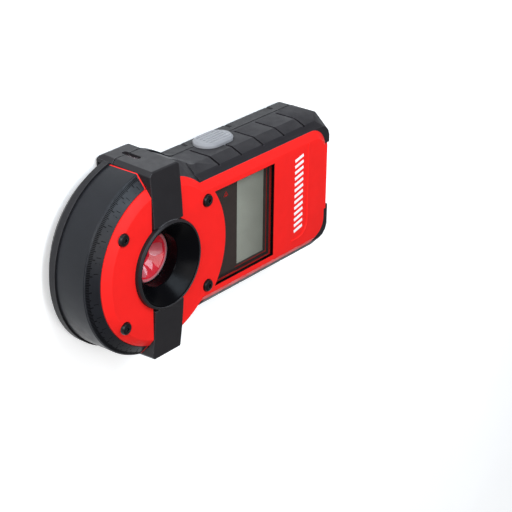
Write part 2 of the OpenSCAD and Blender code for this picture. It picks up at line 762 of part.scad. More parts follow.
module battery_leads() {
    mid = battery_z + battery_h / 2;
    for (side = [-1, 1]) color(side > 0 ? "#c01818" : "#151515") {
        translate([56, side * 3, mid]) rotate([0, 90, 0]) cylinder(h = 4.5, r = 0.7);
        translate([56, side * 3, mid]) sphere(0.7);
        translate([56, side * 3, mid]) cylinder(h = board_z - mid - 0.05, r = 0.7);
    }
}

// The door turns about its barrel; its free end is beside the end wall
module battery_door() {
    color("#2c2b2d") difference() {
        union() {
            translate([door_x0, -door_w, 0.7]) cube([door_x1 - door_x0, 2 * door_w, 1.7]);
            translate([door_x0, -door_w, door_z0]) rotate([-90, 0, 0]) cylinder(h = 2 * door_w, r = barrel_r);
            translate([door_x0, -door_w - 2.2, door_z0]) rotate([-90, 0, 0])
                cylinder(h = 2 * door_w + 4.4, r = pin_r);
        }
        for (i = [0 : 4]) translate([102 + 2 * i, -7, 0]) cube([0.8, 14, 1.1]);
    }
}

module door_foam() {
    color("#55585a") translate([72, -9, 2.45]) cube([34, 18, 0.95]);
}

// ---- fasteners and pads ----

// Screw along +Z with its head's underside at z = 0, and a cross recess
module screw(head, head_t, shank, len, cross) {
    difference() {
        union() {
            cylinder(h = head_t - 0.4, r = head);
            translate([0, 0, head_t - 0.4]) cylinder(h = 0.4, r1 = head, r2 = head - 0.4);
            translate([0, 0, -len]) cylinder(h = len + 0.1, r = shank);
        }
        for (turn = [0, 90]) rotate([0, 0, turn])
            translate([-cross, -0.35, head_t - 0.9]) cube([2 * cross, 0.7, 2]);
    }
}

// Button-head screws that stand proud of the face, with a hexagon socket
module face_screws() {
    shoulder = head_h * 0.55;
    color("#1b1b1d") at_face_screws() translate([0, 0, 0.05]) difference() {
        union() {
            cylinder(h = 0.4, r = head_r);
            translate([0, 0, 0.4]) cylinder(h = shoulder, r1 = head_r, r2 = (head_r + head_top_r) / 2 + 0.25);
            translate([0, 0, 0.4 + shoulder])
                cylinder(h = head_h - 0.4 - shoulder, r1 = (head_r + head_top_r) / 2 + 0.25, r2 = head_top_r);
            translate([0, 0, -15]) cylinder(h = 15.1, r = shank_r);
        }
        translate([0, 0, head_h - 1.1]) cylinder(h = 2, r = socket_r, $fn = 6);
    }
}

module rear_screws() {
    color("#1b1b1d") at_rear_screws() translate([0, 0, 3.3]) mirror([0, 0, 1])
        screw(2.7, 1.7, shank_r, 14, 1.6);
}

module board_screws_set() {
    color("#b9bcc0") at_board_screws() translate([0, 0, board_z - 0.05]) mirror([0, 0, 1])
        screw(1.9, 1.2, 0.85, 4.5, 1.1);
}

module glide_pads() {
    color("#6a6a6c") at_pads() cylinder(h = 0.9, r = pad_r);
}

front_housing();
rear_housing();
head_bumper();
front_yoke();
rear_yoke();
funnel_liner();
light_cup();
cup_rim();
right_grip();
left_grip();
display_window();
window_seal();
display_bezel();
lcd_panel();
backlight();
lcd_frame();
contact_strips();
main_board();
control_chips();
buzzer();
sensor_board();
sensor_plates();
sensor_coil();
link_cable();
link_sockets();
light_board();
ring_leds();
laser_modules();
laser_windows();
side_button();
push_switch();
switch_board();
battery();
battery_snap();
battery_leads();
battery_door();
door_foam();
face_screws();
rear_screws();
board_screws_set();
glide_pads();
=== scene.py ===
"""Looks of a hand-held stud finder: softened shells, a moulded angle scale, a cup with a painted glow and a
display.

Lengths in this script are in millimetres until a mesh is made, but the lights' and the camera's places
are in metres. The frame is the part's own: +Z is the front face's normal, +X runs along the handle and
+Y is the button's side.
"""

import json
import math

import bmesh
import bpy
from mathutils import Matrix, Quaternion, Vector


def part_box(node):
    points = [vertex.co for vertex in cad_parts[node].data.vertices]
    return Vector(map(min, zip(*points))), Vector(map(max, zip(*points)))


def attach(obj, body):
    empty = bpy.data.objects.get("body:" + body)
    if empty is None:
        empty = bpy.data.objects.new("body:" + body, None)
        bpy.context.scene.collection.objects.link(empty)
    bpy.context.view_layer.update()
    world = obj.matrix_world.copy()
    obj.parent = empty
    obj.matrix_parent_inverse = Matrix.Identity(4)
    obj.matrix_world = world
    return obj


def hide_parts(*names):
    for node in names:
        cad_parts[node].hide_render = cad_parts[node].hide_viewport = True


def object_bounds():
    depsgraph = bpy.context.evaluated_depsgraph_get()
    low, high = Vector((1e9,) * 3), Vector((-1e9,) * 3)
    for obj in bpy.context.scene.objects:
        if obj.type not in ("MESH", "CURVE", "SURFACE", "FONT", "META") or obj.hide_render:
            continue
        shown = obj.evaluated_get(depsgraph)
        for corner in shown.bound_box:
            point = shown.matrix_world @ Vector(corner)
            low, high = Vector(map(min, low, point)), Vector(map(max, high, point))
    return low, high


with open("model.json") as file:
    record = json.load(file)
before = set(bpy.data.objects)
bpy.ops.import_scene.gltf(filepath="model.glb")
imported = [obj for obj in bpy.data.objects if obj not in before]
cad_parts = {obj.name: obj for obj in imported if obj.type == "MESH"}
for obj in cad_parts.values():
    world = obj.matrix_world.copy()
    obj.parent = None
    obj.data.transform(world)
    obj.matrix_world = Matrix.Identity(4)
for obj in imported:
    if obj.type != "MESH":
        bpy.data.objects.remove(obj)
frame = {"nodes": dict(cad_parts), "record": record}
CAD_LOW, CAD_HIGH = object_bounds()

MM = 0.001
SLOT_OF = {row["node"]: row["material_slot"] for row in frame["record"]["subparts"]}
BODY_OF = {n: body for body, nodes in frame["record"]["behaviour"]["bodies"].items() for n in nodes}


def extent(node):
    """Lowest and highest corner of a CAD node, in millimetres."""
    low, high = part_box(node)
    return low / MM, high / MM


# ---- dimensions worked out from the frame, in millimetres ----

bumper_low, bumper_high = extent("head_bumper")
window_low, window_high = extent("display_window")
liner_low, liner_high = extent("funnel_liner")
cup_high = extent("light_cup")[1]
rim_low, rim_high = extent("cup_rim")
lcd_low, lcd_high = extent("lcd_panel")

FACE_Z = extent("front_housing")[1].z
BUMPER_R = -bumper_low.x
BUMPER_FOOT = bumper_low.z
BUMPER_EDGE = bumper_high.z - 0.15
BUMPER_BEND = 24.2         # height where the bumper's wall bends into its cone
BUMPER_THICK = 1.8
BUMPER_INNER_BEND = 21.6   # the same bend on the bumper's inside
BUMPER_CUT = bumper_high.x
FACE_R = 38.2              # radius of the red face, where the cone ends
LINER_R = liner_high.x
LINER_TOP = liner_high.z
LINER_FOOT = liner_low.z
CUP_R = cup_high.x
CUP_TOP = cup_high.z
RIM_TOP = rim_high.z
HOLE_R = 3.75              # radius of the marking hole
WINDOW_CURVE_R = 39.5      # radius of the window's curved edge


# ---- mesh helpers ----

def new_piece(name, bm, body, material, replaces=()):
    """Turns a bmesh in millimetres into a piece that rides on a CAD body."""
    bmesh.ops.recalc_face_normals(bm, faces=bm.faces)
    mesh = bpy.data.meshes.new(name)
    bm.to_mesh(mesh)
    bm.free()
    mesh.transform(Matrix.Scale(MM, 4))
    piece = bpy.data.objects.new(name, mesh)
    bpy.context.scene.collection.objects.link(piece)
    smooth(piece)
    piece.data.materials.append(material)
    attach(piece, body)
    if replaces:
        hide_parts(*replaces)
    return piece


def smooth(piece):
    """Smooth shading that keeps edges sharper than 32 degrees."""
    for polygon in piece.data.polygons:
        polygon.use_smooth = True
    piece.data.set_sharp_from_angle(angle=math.radians(32))


def round_edges(piece, width, segments):
    """Bevels every edge that is sharper than 26 degrees, by width in millimetres."""
    bevel = piece.modifiers.new("rounded_edges", "BEVEL")
    bevel.width = width * MM
    bevel.segments = segments
    bevel.limit_method = "ANGLE"
    bevel.angle_limit = math.radians(26)
    bevel.miter_outer = "MITER_ARC"
    bevel.use_clamp_overlap = True
    bevel.harden_normals = True


def softened(node, width, material, segments=3):
    """A copy of a CAD node with its edges rounded, shown in the node's place."""
    bm = bmesh.new()
    bm.from_mesh(frame["nodes"][node].data)
    bmesh.ops.scale(bm, vec=(1 / MM,) * 3, verts=bm.verts)
    bmesh.ops.remove_doubles(bm, verts=bm.verts, dist=0.002)
    bmesh.ops.dissolve_limit(bm, angle_limit=math.radians(0.4), verts=bm.verts, edges=bm.edges)
    piece = new_piece(node + "_shown", bm, BODY_OF[node], material, [node])
    round_edges(piece, width, segments)


def rounded_outline(points, radius, steps=4):
    """Closed outline whose corners are turned into arcs of about radius."""
    made = []
    for i, corner in enumerate(points):
        corner = Vector(corner)
        before = Vector(points[i - 1]) - corner
        after = Vector(points[(i + 1) % len(points)]) - corner
        reach = min(radius, 0.45 * before.length, 0.45 * after.length)
        start = corner + before.normalized() * reach
        end = corner + after.normalized() * reach
        for k in range(steps + 1):
            t = k / steps
            made.append(start * (1 - t) ** 2 + corner * 2 * t * (1 - t) + end * t * t)
    return made


def lathe(outline, steps=144, start=0.0, turn=2 * math.pi):
    """bmesh of a closed (r, z) outline turned about the Z axis."""
    bm = bmesh.new()
    whole = abs(turn - 2 * math.pi) < 1e-6
    count = steps if whole else steps + 1
    rings = []
    for k in range(count):
        a = start + turn * k / steps
        rings.append([bm.verts.new((p[0] * math.cos(a), p[0] * math.sin(a), p[1])) for p in outline])
    for k in range(steps):
        one, two = rings[k], rings[(k + 1) % count]
        for i in range(len(outline)):
            j = (i + 1) % len(outline)
            bm.faces.new((one[i], one[j], two[j], two[i]))
    if not whole:
        bm.faces.new(rings[0])
        bm.faces.new(list(reversed(rings[-1])))
    return bm


def cut_off(bm, place, normal):
    """Removes what lies on the normal's side of a plane and closes the cut."""
    geometry = bm.verts[:] + bm.edges[:] + bm.faces[:]
    made = bmesh.ops.bisect_plane(bm, geom=geometry, plane_co=place, plane_no=normal, clear_outer=True)
    edges = [e for e in made["geom_cut"] if isinstance(e, bmesh.types.BMEdge)]
    bmesh.ops.contextual_create(bm, geom=edges)


def add_bar(bm, place, across, along, size, edge=0.12):
    """Adds a bar with bevelled top edges: size is (width, length, height), place is its foot's middle."""
    up = across.cross(along).normalized()
    width, length, height = size
    rings = []
    for inset, level in ((0, 0), (0, height - edge), (edge, height)):
        x, y = width / 2 - inset, length / 2 - inset
        corners = ((-x, -y), (x, -y), (x, y), (-x, y))
        rings.append([bm.verts.new(place + across * a + along * b + up * level) for a, b in corners])
    for low, high in zip(rings, rings[1:]):
        for i in range(4):
            j = (i + 1) % 4
            bm.faces.new((low[i], low[j], high[j], high[i]))
    bm.faces.new(list(reversed(rings[0])))
    bm.faces.new(rings[-1])


# ---- materials ----

def linear(red, green, blue):
    """Scene-linear colour of an 8-bit display colour."""
    def one(v):
        v /= 255
        return v / 12.92 if v <= 0.04045 else ((v + 0.055) / 1.055) ** 2.4
    return (one(red), one(green), one(blue), 1.0)


def scaled(color, share):
    return tuple(min(1.0, c * share) for c in color[:3]) + (1.0,)


class Shader:
    """A material with the noise, grain and bump nodes that every finish here uses."""

    def __init__(self, name):
        self.material = bpy.data.materials.new(name)
        self.material.use_nodes = True
        self.tree = self.material.node_tree
        self.surface = self.tree.nodes["Principled BSDF"]
        self.place = self.tree.nodes.new("ShaderNodeTexCoord").outputs["Object"]

    def link(self, a, b):
        self.tree.links.new(a, b)

    def noise(self, size_mm, detail=3.0, stretch=(1, 1, 1)):
        """Noise whose features are about size_mm across."""
        mapping = self.tree.nodes.new("ShaderNodeMapping")
        mapping.inputs["Scale"].default_value = stretch
        self.link(self.place, mapping.inputs["Vector"])
        node = self.tree.nodes.new("ShaderNodeTexNoise")
        node.inputs["Scale"].default_value = 1 / (size_mm * MM)
        node.inputs["Detail"].default_value = detail
        node.inputs["Roughness"].default_value = 0.55
        self.link(mapping.outputs["Vector"], node.inputs["Vector"])
        return node.outputs["Fac"]

    def spread(self, value, low, high, from_low=0.3, from_high=0.7):
        node = self.tree.nodes.new("ShaderNodeMapRange")
        limits = (("From Min", from_low), ("From Max", from_high), ("To Min", low), ("To Max", high))
        for name, number in limits:
            node.inputs[name].default_value = number
        self.link(value, node.inputs["Value"])
        return node.outputs["Result"]

    def between(self, value, first, second):
        """A colour that runs from first to second as value runs from 0 to 1."""
        node = self.tree.nodes.new("ShaderNodeMix")
        node.data_type = "RGBA"
        node.inputs["A"].default_value = first
        node.inputs["B"].default_value = second
        self.link(value, node.inputs["Factor"])
        return node.outputs["Result"]

    def edges(self, radius_mm):
        """About 1 along outer edges and 0 elsewhere, from the angle to a rounded normal."""
        rounded = self.tree.nodes.new("ShaderNodeBevel")
        rounded.samples = 4
        rounded.inputs["Radius"].default_value = radius_mm * MM
        flat = self.tree.nodes.new("ShaderNodeNewGeometry")
        dot = self.tree.nodes.new("ShaderNodeVectorMath")
        dot.operation = "DOT_PRODUCT"
        self.link(rounded.outputs["Normal"], dot.inputs[0])
        self.link(flat.outputs["Normal"], dot.inputs[1])
        return self.spread(dot.outputs["Value"], 1.0, 0.0, 0.86, 0.995)

    def bump(self, height, strength):
        """Relief of at most 0.05 mm on the surface, from a height of 0 to 1."""
        node = self.tree.nodes.new("ShaderNodeBump")
        node.inputs["Strength"].default_value = strength
        node.inputs["Distance"].default_value = 0.05 * MM
        self.link(height, node.inputs["Height"])
        self.link(node.outputs["Normal"], self.surface.inputs["Normal"])

    def set(self, **numbers):
        """Sets the surface's own sockets, such as Coat_Weight=0.3."""
        for name, number in numbers.items():
            self.surface.inputs[name.replace("_", " ")].default_value = number


def moulded(name, color, rough, grain_mm=0.35, grain=0.25, tone=0.07, wear=None, **sockets):
    """Moulded plastic or rubber: cloudy tone, fine grain, uneven gloss and lighter worn edges."""
    s = Shader(name)
    cloud = s.spread(s.noise(9.0), 0.0, 1.0)
    base = s.between(cloud, scaled(color, 1 - tone), scaled(color, 1 + tone))
    if wear is not None:
        patchy = s.tree.nodes.new("ShaderNodeMath")
        patchy.operation = "MULTIPLY"
        s.link(s.edges(0.35), patchy.inputs[0])
        s.link(s.spread(s.noise(2.2), 0.25, 0.9), patchy.inputs[1])
        mix = s.tree.nodes.new("ShaderNodeMix")
        mix.data_type = "RGBA"
        s.link(patchy.outputs["Value"], mix.inputs["Factor"])
        s.link(base, mix.inputs["A"])
        mix.inputs["B"].default_value = wear
        base = mix.outputs["Result"]
    s.link(base, s.surface.inputs["Base Color"])
    s.link(s.spread(s.noise(4.0), rough - 0.05, rough + 0.06), s.surface.inputs["Roughness"])
    s.bump(s.noise(grain_mm, detail=2.0), grain)
    s.set(**sockets)
    return s.material


def clear(name, tint, rough, see_through):
    """Clear or tinted plastic: a see-through layer under a gloss that grows where it is seen edge-on."""
    haze = 0.10
    s = Shader(name)
    tree = s.tree
    through = tree.nodes.new("ShaderNodeBsdfTransparent")
    cloud = s.spread(s.noise(12.0), 0.0, 1.0)
    s.link(s.between(cloud, scaled(see_through, 0.96), scaled(see_through, 1.0)), through.inputs["Color"])
    s.link(s.between(cloud, scaled(tint, 0.93), scaled(tint, 1.05)), s.surface.inputs["Base Color"])
    s.link(s.spread(s.noise(3.0), rough, rough + 0.03), s.surface.inputs["Roughness"])
    s.bump(s.noise(1.5), 0.03)
    facing = tree.nodes.new("ShaderNodeLayerWeight")
    facing.inputs["Blend"].default_value = 0.5
    steep = tree.nodes.new("ShaderNodeMath")
    steep.operation = "POWER"
    s.link(facing.outputs["Facing"], steep.inputs[0])
    steep.inputs[1].default_value = 5.0
    mix = tree.nodes.new("ShaderNodeMixShader")
    s.link(s.spread(steep.outputs["Value"], haze, 1.0, 0.0, 1.0), mix.inputs["Fac"])
    s.link(through.outputs["BSDF"], mix.inputs[1])
    s.link(s.surface.outputs["BSDF"], mix.inputs[2])
    s.link(mix.outputs["Shader"], tree.nodes["Material Output"].inputs["Surface"])
    return s.material


def board_material():
    """Green solder mask with paler copper runs under it."""
    s = Shader("solder_mask")
    runs = s.tree.nodes.new("ShaderNodeTexBrick")
    runs.inputs["Scale"].default_value = 1 / (6.0 * MM)
    runs.inputs["Mortar Size"].default_value = 0.02
    runs.inputs["Color1"].default_value = (0.010, 0.105, 0.040, 1)
    runs.inputs["Color2"].default_value = (0.012, 0.125, 0.045, 1)
    runs.inputs["Mortar"].default_value = (0.05, 0.24, 0.08, 1)
    s.link(s.place, runs.inputs["Vector"])
    s.link(runs.outputs["Color"], s.surface.inputs["Base Color"])
    s.link(s.spread(s.noise(3.0), 0.22, 0.34), s.surface.inputs["Roughness"])
    s.bump(runs.outputs["Fac"], 0.2)
    return s.material


def metal(name, color, rough, stretch):
    """Turned or plated metal with fine tool marks along one direction."""
    s = Shader(name)
    s.set(Metallic=1.0)
    marks = s.noise(0.5, detail=4.0, stretch=stretch)
    tone = s.between(s.spread(marks, 0, 1), scaled(color, 0.85), scaled(color, 1.1))
    s.link(tone, s.surface.inputs["Base Color"])
    s.link(s.spread(marks, rough - 0.06, rough + 0.1), s.surface.inputs["Roughness"])
    s.bump(marks, 0.15)
    return s.material


def lcd_material():
    """Unlit liquid crystal glass: grey-green, with painted shade that makes it darker towards the handle's
    end.
    """
    s = Shader("lcd_face")
    split = s.tree.nodes.new("ShaderNodeSeparateXYZ")
    s.link(s.place, split.inputs["Vector"])
    # Painted shade: the glass runs from light at its low-X end to dark at the handle's end.
    painted_shade_ramp = s.spread(split.outputs["X"], 0.0, 1.0, lcd_low.x * MM, lcd_high.x * MM)
    tone = s.between(painted_shade_ramp, linear(214, 225, 212), linear(158, 167, 156))
    s.link(tone, s.surface.inputs["Base Color"])
    s.link(s.spread(s.noise(5.0), 0.30, 0.42), s.surface.inputs["Roughness"])
    s.bump(s.noise(0.6), 0.04)
    s.set(Coat_Weight=0.3)
    return s.material


RED = moulded("red_abs", linear(236, 35, 32), rough=0.44, grain_mm=0.45, grain=0.08, tone=0.03,
              wear=linear(240, 56, 50), Specular_IOR_Level=0.08)
BLACK = moulded("black_abs", linear(30, 29, 31), rough=0.46, grain_mm=0.3, grain=0.3, tone=0.1,
                wear=linear(86, 85, 87), Specular_IOR_Level=0.2)
YOKE = moulded("yoke_abs", linear(33, 31, 33), rough=0.4, grain_mm=0.4, grain=0.22, tone=0.08,
               wear=linear(112, 112, 114), Specular_IOR_Level=0.2)
BUMPER = moulded("bumper_rubber", linear(25, 26, 30), rough=0.34, grain_mm=0.3, grain=0.18, tone=0.1,
                 wear=linear(80, 82, 86), Specular_IOR_Level=0.2)
GRIP = moulded("grip_rubber", linear(33, 31, 34), rough=0.5, grain_mm=0.28, grain=0.4, tone=0.1,
               wear=linear(84, 82, 86), Specular_IOR_Level=0.2)
GLOSS = moulded("gloss_black", linear(6, 6, 8), rough=0.24, grain_mm=0.5, grain=0.05, tone=0.1,
                Specular_IOR_Level=0.06)
SCALE = moulded("scale_black", linear(5, 5, 6), rough=0.7, grain_mm=0.2, grain=0.2, tone=0.15,
                Specular_IOR_Level=0.02)
BUTTON = moulded("button_rubber", linear(134, 134, 137), rough=0.46, grain_mm=0.3, grain=0.35,
                 tone=0.06, wear=linear(168, 168, 171), Specular_IOR_Level=0.35)
SCREW = moulded("black_oxide", linear(24, 24, 26), rough=0.34, grain_mm=0.25, grain=0.2, tone=0.15,
                wear=linear(96, 96, 100), Metallic=0.6)
FITTING = moulded("dark_fitting", linear(32, 32, 34), rough=0.5, grain_mm=0.3, grain=0.2)
WHITE = moulded("white_moulding", linear(228, 228, 224), rough=0.45, grain_mm=0.3, grain=0.15,
                tone=0.03)
FELT = moulded("felt", linear(112, 112, 116), rough=0.9, grain_mm=0.22, grain=0.9, tone=0.15,
               Sheen_Weight=0.4)
FOAM = moulded("foam", linear(92, 94, 98), rough=0.92, grain_mm=0.5, grain=0.9, tone=0.12)
BEZEL = moulded("bezel_print", linear(66, 57, 54), rough=0.55, grain_mm=0.4, grain=0.08, tone=0.05)
PRINT = moulded("white_print", linear(244, 240, 240), rough=0.5, grain_mm=0.3, grain=0.1, tone=0.02)
JACKET = moulded("battery_jacket", linear(96, 100, 104), rough=0.3, grain_mm=0.6, grain=0.08,
                 tone=0.06, Metallic=0.5)
LEAD = moulded("lead_insulation", linear(150, 28, 28), rough=0.45, grain_mm=0.4, grain=0.15)
BOARD = board_material()
COPPER = metal("copper", linear(200, 122, 78), 0.30, (1, 1, 8))
BRASS = metal("turned_brass", linear(205, 178, 108), 0.28, (1, 12, 1))
STEEL = metal("zinc_steel", linear(196, 198, 202), 0.28, (8, 8, 1))
LCD = lcd_material()
WINDOW = clear("smoked_window", linear(60, 52, 50), 0.04, (0.92, 0.90, 0.89, 1))
CLEAR = clear("clear_acrylic", linear(250, 226, 232), 0.05, (0.98, 0.93, 0.95, 1))

PAINT = {
    "red_plastic": RED, "black_plastic": BLACK, "yoke_plastic": YOKE, "bumper_rubber": BUMPER,
    "grip_rubber": GRIP, "gloss_black": GLOSS, "clear_plastic": CLEAR, "smoked_window": WINDOW,
    "bezel_print": BEZEL, "lcd_glass": LCD, "white_plastic": WHITE, "dark_fittings": FITTING,
    "circuit_board": BOARD, "copper": COPPER, "brass_barrel": BRASS, "button_grey": BUTTON,
    "battery_jacket": JACKET, "lead_insulation": LEAD, "foam": FOAM, "black_screw": SCREW,
    "steel_screw": STEEL, "felt": FELT,
}


def cup_material(name, dark, light, rough, painted_glow):
    """Clear red acrylic under a wet gloss, with a faint painted glow in its own colour."""
    s = Shader(name)
    cloud = s.spread(s.noise(5.0), 0.0, 1.0)
    s.link(s.between(cloud, dark, light), s.surface.inputs["Base Color"])
    s.link(s.spread(s.noise(2.0), rough, rough + 0.04), s.surface.inputs["Roughness"])
    s.bump(s.noise(2.5), 0.04)
    # Painted glow: the acrylic gives off light though nothing lights it from inside.
    s.set(Emission_Color=light, Emission_Strength=painted_glow)
    return s.material


# Both cup finishes carry a faint painted glow.
CUP = cup_material("red_acrylic", linear(178, 22, 38), linear(208, 40, 56), 0.05, 0.06)
CUP_LENS = cup_material("lens_acrylic", linear(172, 74, 84), linear(198, 98, 106), 0.20, 0.05)
PAINT["red_clear"] = CUP


# ---- carried-over CAD nodes ----

def paint_nodes():
    """Every CAD node that stays gets its slot's finish."""
    for name, piece in frame["nodes"].items():
        piece.data.materials.clear()
        piece.data.materials.append(PAINT[SLOT_OF[name]])


def soften_shells():
    """Copies with rounded edges stand for the nodes whose edges catch the light."""
    softened("front_housing", 0.45, RED)
    softened("rear_housing", 0.3, BLACK)
    softened("front_yoke", 0.45, YOKE)
    softened("rear_yoke", 0.45, YOKE)
    softened("right_grip", 0.55, GRIP, 4)
    softened("left_grip", 0.55, GRIP, 4)
    softened("side_button", 0.3, BUTTON)
    softened("face_screws", 0.15, SCREW)
    softened("rear_screws", 0.15, SCREW)
    softened("battery_door", 0.3, BLACK)
    softened("glide_pads", 0.25, FELT)
    softened("display_window", 0.2, WINDOW)


# ---- head ----

CONE_RUN = BUMPER_R - FACE_R
CONE_RISE = BUMPER_EDGE - BUMPER_BEND
CONE_LEN = math.hypot(CONE_RUN, CONE_RISE)


def on_cone(angle, slope):
    """Point on the bumper's cone, slope mm from its outer edge, with its frame: across, along, up."""
    r = BUMPER_R - CONE_RUN * slope / CONE_LEN
    out = Vector((math.cos(angle), math.sin(angle), 0))
    place = out * r + Vector((0, 0, BUMPER_BEND + CONE_RISE * slope / CONE_LEN))
    along = (Vector((0, 0, CONE_RISE)) - out * CONE_RUN) / CONE_LEN
    across = Vector((-math.sin(angle), math.cos(angle), 0))
    return place, -across, along


def bumper():
    """Rubber rim: a wall, a rounded bend and a cone with a fine groove at its foot."""
    groove_at, groove_deep, groove_half = 0.55, 0.22, 0.2
    cone = []
    for shift, deep in ((-groove_half, 0), (0, groove_deep), (groove_half, 0)):
        place, across, along = on_cone(math.pi, groove_at + shift)
        inward = across.cross(along).normalized() * -deep
        cone.append((-place.x - inward.x, place.z + inward.z))
    inner_r, chamfer = BUMPER_R - BUMPER_THICK, 0.12
    foot = BUMPER_FOOT - chamfer
    outline = [(inner_r, foot), (BUMPER_R - chamfer, foot), (BUMPER_R, foot + chamfer),
               (BUMPER_R, BUMPER_BEND)]
    outline += cone
    outline += [(FACE_R + 0.2, BUMPER_EDGE - 0.15), (FACE_R + 0.2, BUMPER_EDGE - 2.6),
                (inner_r, BUMPER_INNER_BEND)]
    reach = math.radians(80)
    bm = lathe(rounded_outline(outline, 0.4), 240, math.pi - reach, 2 * reach)
    cut_off(bm, (BUMPER_CUT, 0, 0), (1, 0, 0))
    new_piece("head_bumper_shown", bm, "housing", BUMPER, ["head_bumper"])


STROKES = {
    "0": ((-1, 1), (1, 1), (1, -1), (-1, -1), (-1, 1)),
    "1": ((-0.4, 0.6), (0.2, 1), (0.2, -1)),
    "2": ((-1, 1), (1, 1), (1, 0.2), (-1, -1), (1, -1)),
    "3": ((-1, 1), (1, 1), (0.1, 0.1), (1, -0.4), (0.5, -1), (-1, -1)),
    "4": ((0.5, -1), (0.5, 1), (-1, -0.3), (1, -0.3)),
    "5": ((1, 1), (-1, 1), (-1, 0.1), (0.7, 0.1), (1, -0.4), (0.5, -1), (-1, -1)),
    "6": ((0.8, 1), (-0.6, 0.6), (-1, -1), (1, -1), (1, 0), (-1, 0)),
    "7": ((-1, 1), (1, 1), (-0.2, -1)),
}


def add_number(bm, text, angle, slope):
    """Moulded figures of an angle, which read from outside the head."""
    half_w, half_h, pitch = 0.48, 0.85, 1.5
    thick, height, edge = 0.26, 0.2, 0.07
    for i, figure in enumerate(text):
        place, across, along = on_cone(angle, slope)
        middle = place + across * (i - (len(text) - 1) / 2) * pitch
        points = [middle + across * a * half_w + along * b * half_h for a, b in STROKES[figure]]
        for start, end in zip(points, points[1:]):
            run = (end - start).normalized()
            side = run.cross(across.cross(along).normalized())
            length = (end - start).length + thick
            add_bar(bm, (start + end) / 2, side, run, (thick, length, height), edge)


def angle_scale():
    """Moulded angle scale on the bumper: a tick every degree, and a number every 10."""
    long_tick, middle_tick, short_tick = 2.7, 2.1, 1.5
    width, height, sunk, edge = 0.36, 0.27, 0.05, 0.1
    ticks_at, numbers_at = 1.0, 5.1
    ticks = bmesh.new()
    for degree in range(-75, 76):
        a = math.pi + math.radians(degree)
        length = long_tick if degree % 10 == 0 else middle_tick if degree % 5 == 0 else short_tick
        place, across, along = on_cone(a, ticks_at + length / 2)
        add_bar(ticks, place - across.cross(along) * sunk, across, along, (width, length, height), edge)
    new_piece("scale_ticks", ticks, "housing", SCALE)
    numbers = bmesh.new()
    for degree in range(-70, 71, 10):
        add_number(numbers, str(abs(degree)), math.pi + math.radians(degree), numbers_at)
    new_piece("scale_numbers", numbers, "housing", SCALE)


def red_bead():
    """Thin red rib of the front shell that shows between the bumper and the yoke."""
    inner, outer, width = BUMPER_R - BUMPER_THICK, BUMPER_R - 0.05, 0.62
    outline = [(inner, BUMPER_FOOT), (outer, BUMPER_FOOT), (outer, BUMPER_BEND),
               (FACE_R + 0.1, BUMPER_EDGE - 0.1), (FACE_R + 0.1, BUMPER_EDGE - 3),
               (inner, BUMPER_INNER_BEND)]
    bm = lathe(rounded_outline(outline, 0.3, 2), 240, math.pi / 2, math.pi)
    cut_off(bm, (BUMPER_CUT + width, 0, 0), (1, 0, 0))
    cut_off(bm, (BUMPER_CUT + 0.02, 0, 0), (-1, 0, 0))
    new_piece("red_bead", bm, "housing", RED)


def funnel():
    """Glossy funnel: a straight neck, a soft bend and a flared, slightly hollow cone."""
    neck_r, neck_back_r = 12.0, 14.2
    cone_foot, back_foot, back_top = 27.4, 27.2, 31.0
    lip_r, hollow = LINER_R - 0.4, 0.25
    rise, run = LINER_TOP - cone_foot, lip_r - neck_r
    flare = [(neck_r + run * t - hollow * math.sin(math.pi * t), cone_foot + rise * t)
             for t in (i / 8 for i in range(9))]
    outline = [(neck_r, LINER_FOOT)] + flare
    outline += [(LINER_R, LINER_TOP - 0.1), (LINER_R, back_top), (neck_back_r, back_foot),
                (neck_back_r, LINER_FOOT)]
    new_piece("funnel_liner_shown", lathe(rounded_outline(outline, 0.35), 160), "housing",
              GLOSS, ["funnel_liner"])


def light_cup():
    """Red acrylic bowl with a marking tube and three round lens dimples in its slope."""
    tube_r, flange_r, flange_foot, flange_top = 5.2, 7.0, 15.9, 17.0
    skirt_r, skirt_top = 7.6, 20.0
    dish_low, dish_high, dish_r0, dish_r1, bulge = 17.4, CUP_TOP, 5.0, 9.9, 0.35
    slope = [(dish_r1 + (dish_r0 - dish_r1) * t - bulge * math.sin(math.pi * t),
              dish_high + (dish_low - dish_high) * t) for t in (i / 24 for i in range(25))]
    outline = [(HOLE_R, 0), (tube_r, 0), (tube_r, flange_foot), (flange_r, flange_foot),
               (flange_r, flange_top), (skirt_r, flange_top), (CUP_R, skirt_top), (CUP_R, CUP_TOP)]
    outline += slope + [(HOLE_R, dish_low)]
    bm = lathe(outline, 192)
    dimple_r, dimple_deep, dimple_at = 3.4, 0.9, 7.2
    turns = [math.radians(6 + 120 * k) for k in range(3)]
    middles = [(dimple_at * math.cos(a), dimple_at * math.sin(a)) for a in turns]

    def into_dimple(point):
        """0 at the middle of the nearest dimple, 1 at its edge and outside it."""
        away = min(math.hypot(point.x - x, point.y - y) for x, y in middles) / dimple_r
        return min(1.0, away)

    def in_bowl(point):
        return point.z > dish_low - 0.01 and math.hypot(point.x, point.y) < dish_r1 - 0.05

    lens_faces = [f for f in bm.faces if all(in_bowl(v.co) and into_dimple(v.co) < 0.97 for v in f.verts)]
    for face in lens_faces:
        face.material_index = 1
    for v in [v for v in bm.verts if in_bowl(v.co)]:
        v.co.z -= dimple_deep * (1 - into_dimple(v.co) ** 2) ** 0.8
    cup = new_piece("light_cup_shown", bm, "housing", CUP, ["light_cup"])
    cup.data.materials.append(CUP_LENS)


def cup_rim():
    """Clear ring on the cup with a step, which shows as a double bright line."""
    outer, inner = CUP_R - 0.02, 10.3
    top = RIM_TOP
    foot = rim_low.z
    outline = [(inner, foot), (outer, foot), (outer, foot + 0.35), (outer - 0.3, top - 0.12),
               (outer - 0.5, top), (inner + 0.45, top), (inner + 0.3, top - 0.2), (inner, top - 0.25)]
    new_piece("cup_rim_shown", lathe(rounded_outline(outline, 0.12, 3), 160), "housing",
              CLEAR, ["cup_rim"])


# ---- face ----

